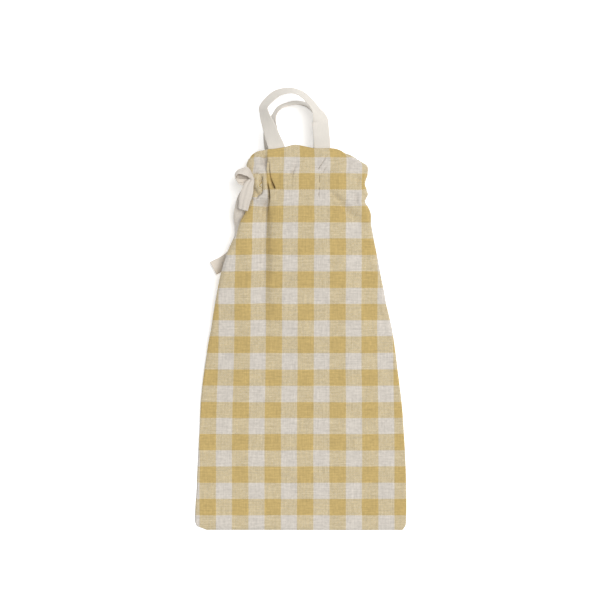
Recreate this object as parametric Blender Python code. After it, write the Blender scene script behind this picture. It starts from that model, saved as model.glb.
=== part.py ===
"""Linen bread bag, lying on its back, mouth open towards +Y.

Two rectangular linen panels are sewn together along both sides and the bottom. A drawstring
runs in a channel below the mouth and gathers it, so the upper half of the front panel stands
up as a shallow arch over the back panel, which lies gathered on the surface. Two tape handles
are sewn inside the mouth. Lengths are in millimetres until a mesh is written in metres.
"""
import math
from collections import namedtuple

import bmesh
import bpy
from mathutils import Vector

MM = 0.001
GAP = 0.3                      # between two pieces that touch

# Cloth
PANEL_HALF = 134.0             # half the flat width of a panel
PANEL_RUN = 485.2              # mouth edge to bottom seam, along the cloth
PANEL_THICK = 1.5
MOUTH_Y = 203.2                # where the mouth edge of the front panel lies
FOOT_Z = PANEL_THICK + GAP     # the front panel's lower edge stands on the back panel
SHOULDER_RADIUS = 8.0
SHOULDER_SHARE = 0.33          # of the height, where the bag is low
SHOULDER_LEAST = 0.9
WALL_DROP = 0.55               # share of a side wall that hangs down before it turns to its seam
WALL_LEAN = 0.12               # the seam lies inside the outline by this share of the height
CROWN_POWER = 4                # how evenly the top rises towards its middle

# Tapes
TAPE_THICK = 1.2
HANDLE_WIDTH = 19.7
STRING_WIDTH = 16.0

# The front panel across its length. run: distance from the mouth edge along the cloth.
# left, right: the outline seen from above. height: middle of the cloth beside the shoulder.
# crown: how much higher the middle of the panel is.
SectionRow = namedtuple("SectionRow", "run left right height crown")
SECTIONS = tuple(SectionRow(*row) for row in (
    (0.0, -58.0, 55.0, 46.0, 3.0),
    (5.0, -61.0, 60.0, 46.5, 3.2),
    (11.0, -63.5, 66.5, 47.0, 3.5),
    (17.5, -66.3, 76.5, 47.2, 3.8),
    (22.0, -66.7, 83.4, 47.3, 4.0),
    (28.0, -65.2, 84.4, 47.4, 4.2),
    (38.0, -62.2, 82.1, 47.5, 4.5),
    (48.5, -60.3, 77.8, 47.5, 4.8),
    (57.0, -60.2, 84.3, 47.4, 5.0),
    (67.0, -60.5, 78.5, 47.2, 5.3),
    (73.0, -62.1, 82.7, 47.0, 5.6),
    (79.5, -66.2, 85.9, 46.6, 5.8),
    (93.5, -75.6, 87.4, 45.2, 6.3),
    (113.0, -82.4, 91.0, 42.4, 6.8),
    (132.0, -92.2, 94.9, 39.0, 7.2),
    (155.0, -99.3, 99.0, 35.2, 7.5),
    (174.0, -103.8, 103.0, 31.8, 7.6),
    (193.0, -107.9, 107.0, 28.2, 7.6),
    (212.0, -111.3, 111.5, 24.5, 7.4),
    (232.0, -114.4, 115.7, 20.8, 7.0),
    (258.0, -118.6, 119.5, 16.4, 6.4),
    (283.0, -122.4, 122.6, 12.8, 5.6),
    (308.0, -125.7, 126.2, 10.0, 4.8),
    (334.0, -128.4, 129.2, 7.8, 4.0),
    (360.0, -130.1, 131.2, 6.0, 3.2),
    (385.0, -131.4, 132.6, 4.8, 2.4),
    (410.0, -132.5, 133.6, 3.9, 1.6),
    (436.0, -133.4, 134.3, 3.3, 0.8),
    (455.0, -134.0, 134.5, 3.1, 0.4),
    (468.0, -134.5, 134.4, 3.0, 0.1),
    (475.0, -134.3, 134.2, 3.0, 0.0),
    (479.5, -133.4, 133.6, 3.0, 0.0),
    (483.3, -127.0, 132.2, 3.0, 0.0),
    (PANEL_RUN, -120.0, 130.0, 3.0, 0.0),
))

# Where the front panel's side edges meet the back panel, beside the gathered channel.
SeamRow = namedtuple("SeamRow", "run left right")
SEAM = tuple(SeamRow(*row) for row in (
    (22.0, -60.5, 76.0),
    (48.0, -56.0, 73.5),
    (70.0, -57.5, 75.5),
    (93.5, -69.6, 81.8),
    (113.0, -77.8, 86.9),
    (132.0, -87.2, 90.6),
))

# The mouth edge wanders along the bag by this much at each place across it.
WaveRow = namedtuple("WaveRow", "x along")
MOUTH_WAVE = tuple(WaveRow(*row) for row in (
    (-59.0, -4.3),
    (-49.0, -5.0),
    (-40.6, -1.7),
    (-21.0, 1.5),
    (-7.0, 4.7),
    (7.0, 2.4),
    (18.0, 0.5),
    (44.0, 0.0),
    (56.0, -4.8),
))
WAVE_REACH = 12.0

# The two corners of the heading hang over the shoulder, away from the mouth.
EAR_RUN = 22.0
EAR_FALL = {"left": Vector((-0.42, -0.62, -0.66)), "right": Vector((0.716, -0.455, -0.538))}
EAR_FOOT_SHARE = 0.25          # the corner's rows crowd together where they meet the seam

# Creases of the front panel that run down from the gathered channel. from_run, to_run: where
# the crease's ends are. from_place, to_place: their distance from the panel's middle on the
# flat cloth. near, far: its width on the left and right. gather: cloth drawn into it.
Crease = namedtuple("Crease", "from_run to_run from_place to_place near far depth gather")
CREASES = tuple(Crease(*row) for row in (
    (-30.0, 235.0, -48.0, -45.0, 6.0, 9.0, 8.0, 5.0),
    (30.0, 68.0, -62.0, -66.0, 5.0, 5.0, 5.0, 7.0),
    (55.0, 105.0, 36.0, 76.0, 12.0, 12.0, 2.5, 0.5),
))
CREASE_POWER = 0.8             # how soon a crease is deep, from its ends
FRONT_SHIFT = 1.0              # the upper panel lies a little to the right, and is drawn in
FRONT_SCALE = 0.97
SCALE_FROM, SCALE_TO = 215.0, 385.0   # between these runs it widens to its flat width

# Gathers of the back panel: ridges that stand up inside the bag. place: across the bag at
# the channel. half: half the width of the ridge's foot. reach: the run at which it ends.
Ridge = namedtuple("Ridge", "place half height reach")
RIDGES = tuple(Ridge(*row) for row in (
    (-47.0, 5.0, 10.0, 250.0),
    (-15.0, 6.0, 12.5, 330.0),
    (-2.5, 6.0, 11.0, 230.0),
    (10.0, 6.0, 13.0, 360.0),
    (45.0, 5.0, 10.5, 300.0),
    (55.5, 5.0, 12.0, 260.0),
    (65.5, 4.5, 9.0, 220.0),
))
RIDGE_FADE_RUN = 40.0          # a ridge is at its full height until this run
RIDGE_SPREAD = 0.3             # and this much wider at its end
RIDGE_SIDE = 0.56              # of its height, halfway up its side
CHANNEL_RUN = 48.5
BACK_MOUTH_Y = MOUTH_Y - 2.5
BACK_EDGE = 0.3                # the back panel's margin outside the front panel's foot
FLAT_EDGE = 2.0                # width of the back panel's flat margin

# Stations along a tape. x, y, z: the tape's middle, with y counted from the mouth edge.
# compass, lift: the direction of its width, as an angle from +X towards +Y and an angle above
# the horizontal, in degrees.
Station = namedtuple("Station", "x y z compass lift")
FRONT_HANDLE = (
    (27.1, -21.2, 45.8, 0.0, 0.0),
    (27.2, 0.1, 44.5, 0.0, 1.0),
    (26.2, 16.3, 46.9, 0.0, -3.0),
    (25.1, 28.8, 46.8, 0.0, -8.0),
    (24.4, 37.6, 46.2, 8.0, -22.0),
    (22.0, 46.7, 45.2, 28.0, -46.0),
    (14.4, 57.1, 43.6, 47.0, -60.0),
    (3.4, 67.1, 42.4, 60.0, -64.0),
    (-5.9, 71.5, 42.0, 78.0, -67.0),
    (-15.6, 72.7, 41.6, 95.0, -65.0),
    (-26.3, 70.3, 41.6, 112.0, -61.0),
    (-32.9, 66.5, 42.0, 124.0, -58.0),
    (-41.3, 58.7, 43.0, 136.0, -58.0),
    (-46.4, 51.3, 44.0, 158.0, -58.0),
    (-45.4, 44.1, 44.6, 184.0, -55.0),
    (-43.0, 35.9, 45.1, 195.0, -47.0),
    (-39.0, 25.4, 45.8, 197.0, -36.0),
    (-33.9, 11.6, 46.4, 197.0, -22.0),
    (-29.9, 0.6, 44.9, 197.0, -3.0),
    (-24.6, -19.1, 45.0, 196.0, 0.0),
)
BACK_HANDLE = (
    (29.4, -19.8, 2.8, 0.0, 0.0),
    (29.8, 3.7, 2.8, 0.0, 0.0),
    (30.4, 17.9, 4.2, 0.0, -12.0),
    (28.5, 33.1, 8.0, 12.0, -42.0),
    (22.2, 47.0, 10.0, 38.0, -58.0),
    (10.8, 56.5, 10.6, 66.0, -62.0),
    (-4.4, 59.1, 10.6, 92.0, -62.0),
    (-18.4, 54.0, 10.4, 120.0, -60.0),
    (-29.2, 43.9, 9.8, 145.0, -56.0),
    (-35.5, 33.1, 8.0, 166.0, -42.0),
    (-37.0, 19.2, 4.4, 178.0, -14.0),
    (-35.5, 4.0, 2.8, 180.0, 0.0),
    (-35.5, -18.3, 2.8, 180.0, 0.0),
)

KNOT_PLACE = Vector((-61.8, -38.0, 51.6))
KNOT_RADII = Vector((5.0, 6.0, 4.4))
STRING_LOOP = (
    (-62.8, -37.6, 54.2, 70.0, -36.0),
    (-66.5, -32.5, 54.8, 70.0, -42.0),
    (-73.0, -30.3, 54.8, 72.0, -42.0),
    (-77.6, -31.5, 53.0, 78.0, -42.0),
    (-79.4, -34.2, 50.3, 82.0, -40.0),
    (-77.4, -37.2, 47.9, 86.0, -38.0),
    (-71.5, -39.3, 47.3, 88.0, -35.0),
    (-66.5, -39.2, 48.9, 88.0, -32.0),
    (-63.4, -38.8, 51.4, 88.0, -28.0),
)
STRING_SHORT_TAIL = (
    (-62.6, -40.0, 50.0, 165.0, -35.0),
    (-67.0, -47.3, 48.0, 170.0, -28.0),
    (-69.6, -57.5, 45.0, 174.0, -26.0),
    (-72.2, -68.0, 41.0, 180.0, -34.0),
    (-75.2, -76.6, 37.0, 186.0, -46.0),
)
STRING_LONG_TAIL = (
    (-63.4, -40.0, 46.4, 175.0, -50.0),
    (-69.0, -50.3, 39.5, 178.0, -58.0),
    (-74.6, -65.3, 32.5, 180.0, -62.0),
    (-78.2, -81.3, 26.0, 178.0, -68.0),
    (-80.6, -98.3, 19.6, 172.0, -76.0),
    (-85.0, -113.3, 14.4, 162.0, -84.0),
    (-91.4, -125.0, 10.6, 152.0, -76.0),
    (-97.8, -133.0, 7.6, 138.0, -48.0),
    (-104.6, -140.8, 4.8, 126.0, -16.0),
    (-110.6, -148.3, 2.4, 122.0, -2.0),
)

# Points of the mesh along and across the pieces
BEND_STEPS, WALL_STEPS = 3, 4
TOP_STEPS = (2, 2, 3, 11)      # left shoulder, crease's left side, its right side, right shoulder
LEAST_STEP = 1.0
HANDLE_FRONT_STEPS, HANDLE_BACK_STEPS, TAIL_STEPS, LOOP_STEPS = 2, 3, 3, 3
KNOT_SEGMENTS, KNOT_RINGS = 10, 7
HALVINGS = 40
FLAT_BELOW = 0.01              # the back panel lies flat where it rises less than this


def remove_everything():
    for item in list(bpy.data.objects):
        bpy.data.objects.remove(item, do_unlink=True)


def material(name, colour, roughness):
    """A cloth material with one plain colour."""
    made = bpy.data.materials.new(name)
    made.use_nodes = True
    shader = made.node_tree.nodes["Principled BSDF"]
    shader.inputs["Base Color"].default_value = (*colour, 1.0)
    shader.inputs["Roughness"].default_value = roughness
    shader.inputs["Metallic"].default_value = 0.0
    return made


def bump(distance, near, far):
    """A soft ridge: 1 at distance 0, falling to 0 at -near on one side and far on the other."""
    share = distance / (far if distance > 0 else near)
    if abs(share) >= 1.0:
        return 0.0
    return (1.0 - share * share) ** 2


def ramp(value, start, end):
    """0 before start, 1 after end, and smooth between them."""
    share = min(1.0, max(0.0, (value - start) / (end - start)))
    return share * share * (3.0 - 2.0 * share)


def read(rows, at, name):
    """A table's column at a place in its first column, on a smooth curve through the rows."""
    last = len(rows) - 1
    at = min(max(at, rows[0][0]), rows[last][0])
    step = next(i for i in range(last) if at <= rows[i + 1][0])

    def slope(i):
        before, after = rows[max(i - 1, 0)], rows[min(i + 1, last)]
        return (getattr(after, name) - getattr(before, name)) / (after[0] - before[0])

    low, high = rows[step], rows[step + 1]
    span = high[0] - low[0]
    share = (at - low[0]) / span
    square, cube = share * share, share * share * share
    return (
        (2 * cube - 3 * square + 1) * getattr(low, name)
        + (cube - 2 * square + share) * span * slope(step)
        + (3 * square - 2 * cube) * getattr(high, name)
        + (cube - square) * span * slope(step + 1)
    )


AlongRow = namedtuple("AlongRow", "run y")


def lengthwise():
    """Run and Y of each section: the cloth's length is kept while it slopes down."""
    rows = [AlongRow(0.0, MOUTH_Y)]
    for low, high in zip(SECTIONS, SECTIONS[1:]):
        run = high.run - low.run
        rise = (high.height + high.crown) - (low.height + low.crown)
        rows.append(AlongRow(high.run, rows[-1].y - math.sqrt(run * run - rise * rise)))
    return rows


ALONG = lengthwise()


class Section:
    """The measures of the bag across it, at one run."""

    def __init__(self, run):
        self.run = run
        self.y = read(ALONG, run, "y")
        self.left = read(SECTIONS, run, "left") + PANEL_THICK / 2
        self.right = read(SECTIONS, run, "right") - PANEL_THICK / 2
        self.height = read(SECTIONS, run, "height")
        self.crown = read(SECTIONS, run, "crown")
        tall = self.height - FOOT_Z
        self.radius = min(SHOULDER_RADIUS, max(tall * SHOULDER_SHARE, SHOULDER_LEAST))
        self.ear = max(0.0, 1.0 - run / EAR_RUN)
        self.creases = [self.crease(row) for row in CREASES]

    def crease(self, row):
        """One crease as it is in this section: its ends' places and depths are blended."""
        share = min(1.0, max(0.0, (self.run - row.from_run) / (row.to_run - row.from_run)))
        strength = math.sin(math.pi * share) ** CREASE_POWER
        place = row.from_place + (row.to_place - row.from_place) * share
        return row._replace(from_place=place, depth=row.depth * strength, gather=row.gather * strength)

    def place(self, across):
        """X of the cloth that lay at this place across the flat panel."""
        loose = 1.0 - ramp(self.run, SCALE_FROM, SCALE_TO)
        scale = 1.0 + (FRONT_SCALE - 1.0) * loose
        x = FRONT_SHIFT * loose + scale * across
        for crease in self.creases:
            start, end = crease.from_place - crease.near, crease.from_place + crease.far
            x += crease.gather * (1.0 - ramp(across, start, end))
        return x

    def across(self, x):
        """The place across the flat panel of the cloth that lies at x, found by halving."""
        low, high = -1.2 * PANEL_HALF, 1.2 * PANEL_HALF
        for _ in range(HALVINGS):
            middle = (low + high) / 2
            if self.place(middle) < x:
                low = middle
            else:
                high = middle
        return (low + high) / 2

    def top(self, across):
        """A point of the front panel between the shoulders."""
        x = self.place(across)
        middle = (self.left + self.right) / 2
        half = (self.right - self.left) / 2 - self.radius
        share = min(1.0, abs(x - middle) / half)
        z = self.height + self.crown * (1.0 - share ** CROWN_POWER) ** 2
        inside = 1.0 - share ** (CROWN_POWER + 2)
        for crease in self.creases:
            z -= crease.depth * bump(across - crease.from_place, crease.near, crease.far) * inside
        return Vector((x, self.y + self.wave(x), z))

    def wave(self, x):
        """How far the mouth edge's waver moves this point."""
        return read(MOUTH_WAVE, x, "along") * max(0.0, 1.0 - self.run / WAVE_REACH) ** 2

    def foot(self, side):
        """Where the front panel ends at the side seam."""
        level = max(self.run, EAR_RUN)
        y = read(ALONG, level, "y") + EAR_FOOT_SHARE * (level - self.run)
        inwards = 1 if side == "left" else -1
        if level > SEAM[-1].run:
            lean = WALL_LEAN * max(0.0, self.height - SECTIONS[-1].height)
            x = read(SECTIONS, level, side) + inwards * lean
        else:
            x = read(SEAM, level, side)
        return Vector((x + inwards * PANEL_THICK / 2, y, FOOT_Z))

    def side(self, side):
        """Points from the shoulder down to the side seam."""
        outwards, x = (-1, self.left) if side == "left" else (1, self.right)
        corner = Vector((x, self.y + self.wave(x), self.height))
        fall = Vector((0, 0, -1)).lerp(EAR_FALL[side], self.ear).normalized()
        start = corner - Vector((outwards * self.radius, 0, 0))
        wall = corner + fall * self.radius
        drop = WALL_DROP * (self.height - FOOT_Z)
        pull = corner + fall * max(self.radius, drop / -fall.z)
        bend = [quadratic(start, corner, wall, (i + 1) / BEND_STEPS) for i in range(BEND_STEPS)]
        foot = self.foot(side)
        down = [quadratic(wall, pull, foot, (i + 1) / WALL_STEPS) for i in range(WALL_STEPS)]
        return bend + down


def quadratic(start, control, end, share):
    """A point on a parabola from start to end."""
    return start.lerp(control, share).lerp(control.lerp(end, share), share)


def front_row(run):
    """Points across the front panel, from the left seam to the right seam."""
    section = Section(run)
    low = section.across(section.left + section.radius)
    high = section.across(section.right - section.radius)
    crease = section.creases[0]
    marks = (low, crease.from_place - crease.near, crease.from_place, crease.from_place + crease.far, high)
    marks = [min(max(mark, low + LEAST_STEP * i), high) for i, mark in enumerate(marks)]
    places = [low]
    for start, end, count in zip(marks, marks[1:], TOP_STEPS):
        places += [start + (end - start) * (i + 1) / count for i in range(count)]
    top = [section.top(place) for place in places]
    return section.side("left")[::-1] + top + section.side("right")


def back_edges(section):
    """X of the back panel's two side edges in this section."""
    margin = PANEL_THICK / 2 + BACK_EDGE
    return section.foot("left").x - margin, section.foot("right").x + margin


def back_row(run):
    """Points across the back panel, which lies on the surface, with its ridges."""
    section = Section(run)
    left, right = back_edges(section)
    channel_left, channel_right = back_edges(Section(CHANNEL_RUN))
    spread = (right - left) / (channel_right - channel_left)
    middle, channel_middle = (left + right) / 2, (channel_left + channel_right) / 2
    places, heights = [left, left + FLAT_EDGE], [0.0, 0.0]
    for ridge in RIDGES:
        fade = 1.0 - ramp(run, RIDGE_FADE_RUN, ridge.reach)
        x = middle + (ridge.place - channel_middle) * spread
        width = ridge.half * (1.0 + RIDGE_SPREAD * (1.0 - fade))
        crest = ridge.height * fade
        places += [x - width, x - width / 2, x, x + width / 2, x + width]
        heights += [0.0, RIDGE_SIDE * crest, crest, RIDGE_SIDE * crest, 0.0]
    places += [right - FLAT_EDGE, right]
    heights += [0.0, 0.0]
    foot_y = section.foot("left").y
    points = []
    for x, height in zip(places, heights):
        share = min(1.0, abs(x - middle) / ((right - left) / 2))
        reach = (BACK_MOUTH_Y - foot_y) * (1.0 - share ** CROWN_POWER) * section.ear
        points.append(Vector((x, foot_y + reach, PANEL_THICK / 2 + height)))
    return points


def surface_normals(grid):
    """Unit normals of a grid of points, pointing up where the grid is level."""
    rows, columns = len(grid), len(grid[0])
    normals = []
    for i in range(rows):
        line = []
        for j in range(columns):
            down = grid[min(i + 1, rows - 1)][j] - grid[max(i - 1, 0)][j]
            right = grid[i][min(j + 1, columns - 1)] - grid[i][max(j - 1, 0)]
            line.append(down.cross(right).normalized())
        normals.append(line)
    return normals


def new_object(name, mesh, slot):
    made = bpy.data.objects.new(name, mesh)
    bpy.context.scene.collection.objects.link(made)
    mesh.materials.append(slot)
    return made


def closed_sheet(name, upper, lower, slot):
    """A solid between two grids of points that lie over each other."""
    rows, columns = len(upper), len(upper[0])
    shape = bmesh.new()
    top = [[shape.verts.new(point * MM) for point in line] for line in upper]
    under = [[shape.verts.new(point * MM) for point in line] for line in lower]
    for i in range(rows - 1):
        for j in range(columns - 1):
            shape.faces.new((top[i][j], top[i + 1][j], top[i + 1][j + 1], top[i][j + 1]))
            shape.faces.new((under[i][j], under[i][j + 1], under[i + 1][j + 1], under[i + 1][j]))
    ring = [(0, j) for j in range(columns)]
    ring += [(i, columns - 1) for i in range(1, rows)]
    ring += [(rows - 1, j) for j in range(columns - 2, -1, -1)]
    ring += [(i, 0) for i in range(rows - 2, 0, -1)]
    for (i, j), (k, m) in zip(ring, ring[1:] + ring[:1]):
        shape.faces.new((top[i][j], top[k][m], under[k][m], under[i][j]))
    bmesh.ops.recalc_face_normals(shape, faces=shape.faces)
    mesh = bpy.data.meshes.new(name)
    shape.to_mesh(mesh)
    shape.free()
    mesh.shade_smooth()
    return new_object(name, mesh, slot)


def level(direction):
    """The same direction without its rise."""
    return Vector((direction.x, direction.y, 0)).normalized()


def panel_directions(line, directions, stands):
    """The directions in which a row's points are thickened, so that its edges end square."""
    if stands:
        return [level(directions[0])] + directions[1:-1] + [level(directions[-1])]
    flat = PANEL_THICK / 2 + FLAT_BELOW
    return [Vector((0, 0, 1)) if point.z < flat else direction for point, direction in zip(line, directions)]


def cloth_panel(name, grid, slot, stands):
    """A panel of cloth around a grid of middle points. Its sides stand up, or it lies flat."""
    half = PANEL_THICK / 2
    upper, lower = [], []
    for line, normals in zip(grid, surface_normals(grid)):
        directions = panel_directions(line, normals, stands)
        upper.append([point + direction * half for point, direction in zip(line, directions)])
        lower.append([point - direction * half for point, direction in zip(line, directions)])
    return closed_sheet(name, upper, lower, slot)


RouteRow = namedtuple("RouteRow", ("at",) + Station._fields)


def smooth_route(stations, steps):
    """The stations of a tape with more between them, on a smooth curve."""
    rows = [RouteRow(float(i), *station) for i, station in enumerate(stations)]
    count = (len(stations) - 1) * steps
    return [Station(*(read(rows, i / steps, name) for name in Station._fields)) for i in range(count + 1)]


def tape(name, stations, width, steps, slot):
    """A flat tape that follows its stations."""
    route = smooth_route(stations, steps)
    points = [Vector((station.x, station.y + MOUTH_Y, station.z)) for station in route]
    upper, lower = [], []
    for i, station in enumerate(route):
        compass, lift = math.radians(station.compass), math.radians(station.lift)
        flat = math.cos(lift)
        side = Vector((flat * math.cos(compass), flat * math.sin(compass), math.sin(lift)))
        along = (points[min(i + 1, len(points) - 1)] - points[max(i - 1, 0)]).normalized()
        side = (side - along * side.dot(along)).normalized()
        face = side.cross(along).normalized() * (TAPE_THICK / 2)
        edges = [points[i] - side * (width / 2), points[i] + side * (width / 2)]
        upper.append([edge + face for edge in edges])
        lower.append([edge - face for edge in edges])
    return closed_sheet(name, upper, lower, slot)


def knot(name, slot):
    """The knot of the drawstring, a rounded lump."""
    shape = bmesh.new()
    bmesh.ops.create_uvsphere(shape, u_segments=KNOT_SEGMENTS, v_segments=KNOT_RINGS, radius=1.0)
    for corner in shape.verts:
        size = Vector(a * b for a, b in zip(corner.co, KNOT_RADII))
        corner.co = (KNOT_PLACE + Vector((0, MOUTH_Y, 0)) + size) * MM
    mesh = bpy.data.meshes.new(name)
    shape.to_mesh(mesh)
    shape.free()
    return new_object(name, mesh, slot)


def join_into(target, others):
    """Union the others into the target, and keep them only as guides."""
    for other in others:
        cut = target.modifiers.new("with " + other.name, "BOOLEAN")
        cut.operation = "UNION"
        cut.solver = "EXACT"
        cut.use_self = True
        cut.object = other
        other.hide_render = True
        other.display_type = "WIRE"


def build():
    remove_everything()
    linen = material("gingham_linen", (0.58, 0.47, 0.27), 0.9)
    webbing = material("cotton_tape", (0.80, 0.76, 0.70), 0.85)
    ribbon = material("drawstring_tape", (0.67, 0.60, 0.53), 0.85)
    runs = [row.run for row in SECTIONS]
    cloth_panel("front_panel", [front_row(run) for run in runs], linen, stands=True)
    coarse_runs = runs[::2] + runs[-1:]
    cloth_panel("back_panel", [back_row(run) for run in coarse_runs], linen, stands=False)
    tape("handle_front", FRONT_HANDLE, HANDLE_WIDTH, HANDLE_FRONT_STEPS, webbing)
    tape("handle_back", BACK_HANDLE, HANDLE_WIDTH, HANDLE_BACK_STEPS, webbing)
    string = tape("drawstring", STRING_LONG_TAIL, STRING_WIDTH, TAIL_STEPS, ribbon)
    loop = tape("loop_guide", STRING_LOOP, STRING_WIDTH, LOOP_STEPS, ribbon)
    short = tape("short_tail_guide", STRING_SHORT_TAIL, STRING_WIDTH, TAIL_STEPS, ribbon)
    join_into(string, [knot("knot_guide", ribbon), loop, short])


build()
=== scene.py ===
"""Looks of the linen bread bag: gingham cloth, tape handles and a tied drawstring."""
import math
from collections import namedtuple

import bpy
import numpy as np
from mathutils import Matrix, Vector, noise


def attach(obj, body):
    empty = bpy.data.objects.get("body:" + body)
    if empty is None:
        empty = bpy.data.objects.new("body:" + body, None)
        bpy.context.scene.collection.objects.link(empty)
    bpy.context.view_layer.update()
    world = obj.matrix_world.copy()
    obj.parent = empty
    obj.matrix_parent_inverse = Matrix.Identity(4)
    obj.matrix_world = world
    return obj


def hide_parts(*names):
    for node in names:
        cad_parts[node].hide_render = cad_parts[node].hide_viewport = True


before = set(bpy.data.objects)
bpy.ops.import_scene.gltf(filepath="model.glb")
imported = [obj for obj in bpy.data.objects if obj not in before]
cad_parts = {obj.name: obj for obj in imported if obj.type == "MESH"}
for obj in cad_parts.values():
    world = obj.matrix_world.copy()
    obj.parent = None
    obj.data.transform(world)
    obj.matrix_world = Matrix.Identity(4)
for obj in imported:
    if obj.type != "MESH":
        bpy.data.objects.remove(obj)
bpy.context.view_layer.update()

MM = 0.001

# ---- Sizes and tables of the part, in millimetres ----

PANEL_HALF = 134.0             # half the flat width of a panel
PANEL_RUN = 485.2              # mouth edge to bottom seam, along the cloth
CAD_THICK = 1.5
MOUTH_Y = 203.2                # where the mouth edge of the front panel lies
FOOT_Z = 1.8                   # the front panel's lower edge, at the side seams
SHOULDER_RADIUS = 8.0
SHOULDER_SHARE = 0.33          # of the height, where the bag is low
SHOULDER_LEAST = 0.9
WALL_LEAN = 0.12               # the side walls' feet stand in by this share of the height
WALL_BEND = 0.55               # how far down this height a side wall turns in to its foot

# The front panel across its length. run: distance from the mouth edge along the cloth.
# left, right: the outline seen from above. height: middle of the cloth beside the shoulder.
# Columns: run, left, right, height, crown.
SECTIONS = (
    (0, -58, 55, 46, 3), (5, -61, 60, 46.5, 3.2), (11, -63.5, 66.5, 47, 3.5),
    (17.5, -66.3, 76.5, 47.2, 3.8), (22, -66.7, 83.4, 47.3, 4), (28, -65.2, 84.4, 47.4, 4.2),
    (38, -62.2, 82.1, 47.5, 4.5), (48.5, -60.3, 77.8, 47.5, 4.8), (57, -60.2, 84.3, 47.4, 5),
    (67, -60.5, 78.5, 47.2, 5.3), (73, -62.1, 82.7, 47, 5.6), (79.5, -66.2, 85.9, 46.6, 5.8),
    (93.5, -75.6, 87.4, 45.2, 6.3), (113, -82.4, 91, 42.4, 6.8), (132, -92.2, 94.9, 39, 7.2),
    (155, -99.3, 99, 35.2, 7.5), (174, -103.8, 103, 31.8, 7.6), (193, -107.9, 107, 28.2, 7.6),
    (212, -111.3, 111.5, 24.5, 7.4), (232, -114.4, 115.7, 20.8, 7), (258, -118.6, 119.5, 16.4, 6.4),
    (283, -122.4, 122.6, 12.8, 5.6), (308, -125.7, 126.2, 10, 4.8), (334, -128.4, 129.2, 7.8, 4),
    (360, -130.1, 131.2, 6, 3.2), (385, -131.4, 132.6, 4.8, 2.4), (410, -132.5, 133.6, 3.9, 1.6),
    (436, -133.4, 134.3, 3.3, 0.8), (455, -134, 134.5, 3.1, 0.4), (468, -134.5, 134.4, 3, 0.1),
    (475, -134.3, 134.2, 3, 0), (479.5, -133.4, 133.6, 3, 0), (483.3, -127, 132.2, 3, 0),
    (PANEL_RUN, -120, 130, 3, 0),
)

# Where the front panel's side edges meet the back panel, beside the gathered channel.
# Columns: run, left, right.
SEAM = (
    (22, -60.5, 76), (48, -56, 73.5), (70, -57.5, 75.5), (93.5, -69.6, 81.8), (113, -77.8, 86.9),
    (132, -87.2, 90.6),
)

# The mouth edge wanders along the bag by this much at each place across it.
MOUTH_WAVE = (
    (-59, -4.3), (-49, -5), (-40.6, -1.7), (-21, 1.5), (-7, 4.7), (7, 2.4), (18, 0.5), (44, 0),
    (56, -4.8),
)
WAVE_REACH = 12.0

# The side seams start at this run. The corners before it stand free, as ears, and their
# sides fall in these directions. Their rows come closer together at the seam.
EAR_RUN = 22.0
EAR_FALL = {-1: (-0.42, -0.62, -0.66), 1: (0.716, -0.455, -0.538)}
EAR_FOOT_SHARE = 0.25

# Between the shoulders the cloth lies a little narrower than flat, until it widens below.
FRONT_SHIFT = 1.0
FRONT_SCALE = 0.97
SCALE_FROM, SCALE_TO = 215.0, 385.0

# Ridges of the back panel that stand up inside the bag. Columns: place, half, height, reach.
RIDGES = (
    (-47, 5.6, 8, 250), (-15, 6.8, 10, 330), (-2.5, 6.4, 7.4, 230), (10, 6.8, 10.4, 360),
    (45, 5.8, 8, 300), (55.5, 5.6, 9.4, 260), (65.5, 5, 6.6, 220),
)
BACK_MOUTH_Y = MOUTH_Y - 2.5
CHANNEL_RUN = 48.5             # the ridges' places are measured there
RIDGE_FROM = 40.0              # from here they fade and spread out
RIDGE_SPREAD = 0.3

# Stations along a tape: x, y from the mouth edge, z, then the direction of its width: compass
# angle from +X towards +Y, and angle above the horizontal.
HANDLE_WIDTH = 19.7
FRONT_HANDLE = (
    (27.1, -21.2, 45.8, 0, 0), (27.2, 0.1, 44.5, 0, 1), (26.2, 16.3, 46.9, 0, -3),
    (25.1, 28.8, 46.8, 0, -8), (25, 34.4, 46.4, 6, -16), (23.4, 41, 45.8, 20, -38),
    (19.6, 48, 44.9, 36, -58), (13.9, 56.3, 43.6, 47, -64), (3.4, 66.9, 42.4, 60, -66),
    (-5.9, 71.5, 42, 78, -67), (-15.6, 72.7, 41.6, 95, -65), (-26.3, 70.3, 41.6, 112, -61),
    (-32.9, 66.5, 42, 124, -58), (-41.3, 58.7, 43, 136, -58), (-46.4, 51.3, 44, 158, -58),
    (-45.4, 44.1, 44.6, 184, -55), (-43, 35.9, 45.1, 195, -47), (-39, 25.4, 45.8, 197, -36),
    (-33.9, 11.6, 46.4, 197, -22), (-29.9, 0.6, 44.9, 197, -3), (-24.6, -19.1, 45, 196, 0),
)
BACK_HANDLE = (
    (26.9, -19.8, 2.8, 0, 0), (26.9, 3.7, 2.8, 0, 0), (26.6, 17.9, 4.2, 0, -14),
    (25.2, 33.1, 8, 12, -46), (20, 47, 10, 38, -64), (9.6, 56.5, 10.6, 66, -70),
    (-4.4, 60, 10.6, 92, -72), (-17.4, 57.6, 10.4, 114, -72), (-27.3, 53.1, 10.4, 132, -73),
    (-34, 42, 10.4, 158, -70), (-37.2, 26, 6.2, 175, -30), (-36.6, 14, 3.2, 178, -6),
    (-35.6, 3, 2.8, 178, 0), (-35, -18.3, 2.8, 180, 0),
)
STRING_WIDTH = 17.6
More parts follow.
